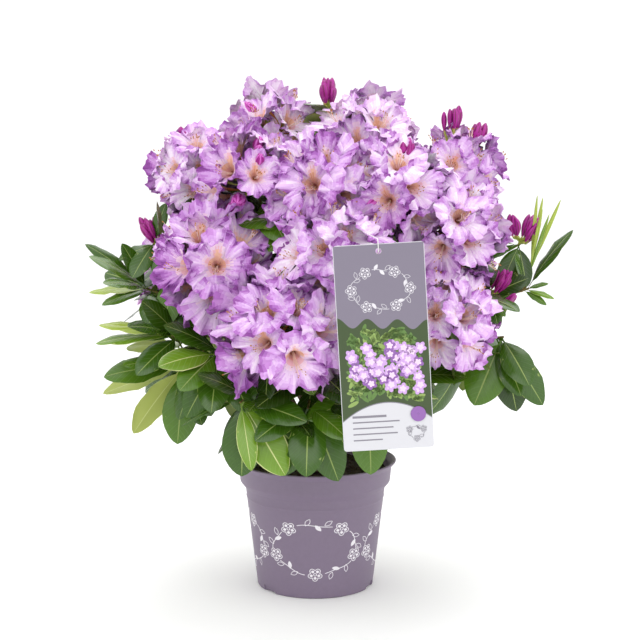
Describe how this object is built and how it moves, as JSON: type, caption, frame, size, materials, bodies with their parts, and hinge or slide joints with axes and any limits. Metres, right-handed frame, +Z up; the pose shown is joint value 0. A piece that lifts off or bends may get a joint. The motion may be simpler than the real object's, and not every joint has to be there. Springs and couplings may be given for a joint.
{
  "type": "potted rhododendron",
  "caption": "Lilac rhododendron in flower in a round nursery pot, with domed crown, whorled leaves, flower trusses, magenta buds and a hanging picture label.",
  "frame": {"origin": "centre of the pot's flat underside", "axes": "+Z up along the pot's axis, -Y towards the side the label hangs on, +X to the viewer's right"},
  "size_m": [0.6486, 0.5515, 0.7257],
  "materials": {
    "pot": "dull moulded polypropylene",
    "soil": "moist dark peat",
    "bark": "thin brown bark",
    "foliage": "soft petals and leathery leaves",
    "label": "printed card, satin",
    "tie": "thin smooth loop"
  },
  "bodies": {
    "root": {"back_centre": "foliage", "back_left": "foliage", "back_low": "foliage", "back_right": "foliage", "back_upper": "foliage", "bough_back_centre": "bark", "bough_back_left": "bark", "bough_back_low": "bark", "bough_back_right": "bark", "bough_back_upper": "bark", "bough_crown_top": "bark", "bough_front_centre": "bark", "bough_front_low": "bark", "bough_front_right": "bark", "bough_left": "bark", "bough_left_low": "bark", "bough_right": "bark", "bough_right_low": "bark", "bough_upper_left": "bark", "bough_upper_right": "bark", "crown_top": "foliage", "front_centre": "foliage", "front_low": "foliage", "front_right": "foliage", "label": "label", "label_tie": "tie", "left": "foliage", "left_low": "foliage", "pot": "pot", "right": "foliage", "right_low": "foliage", "soil": "soil", "trunk": "bark", "upper_left": "foliage", "upper_right": "foliage"}
  },
  "joints": []
}
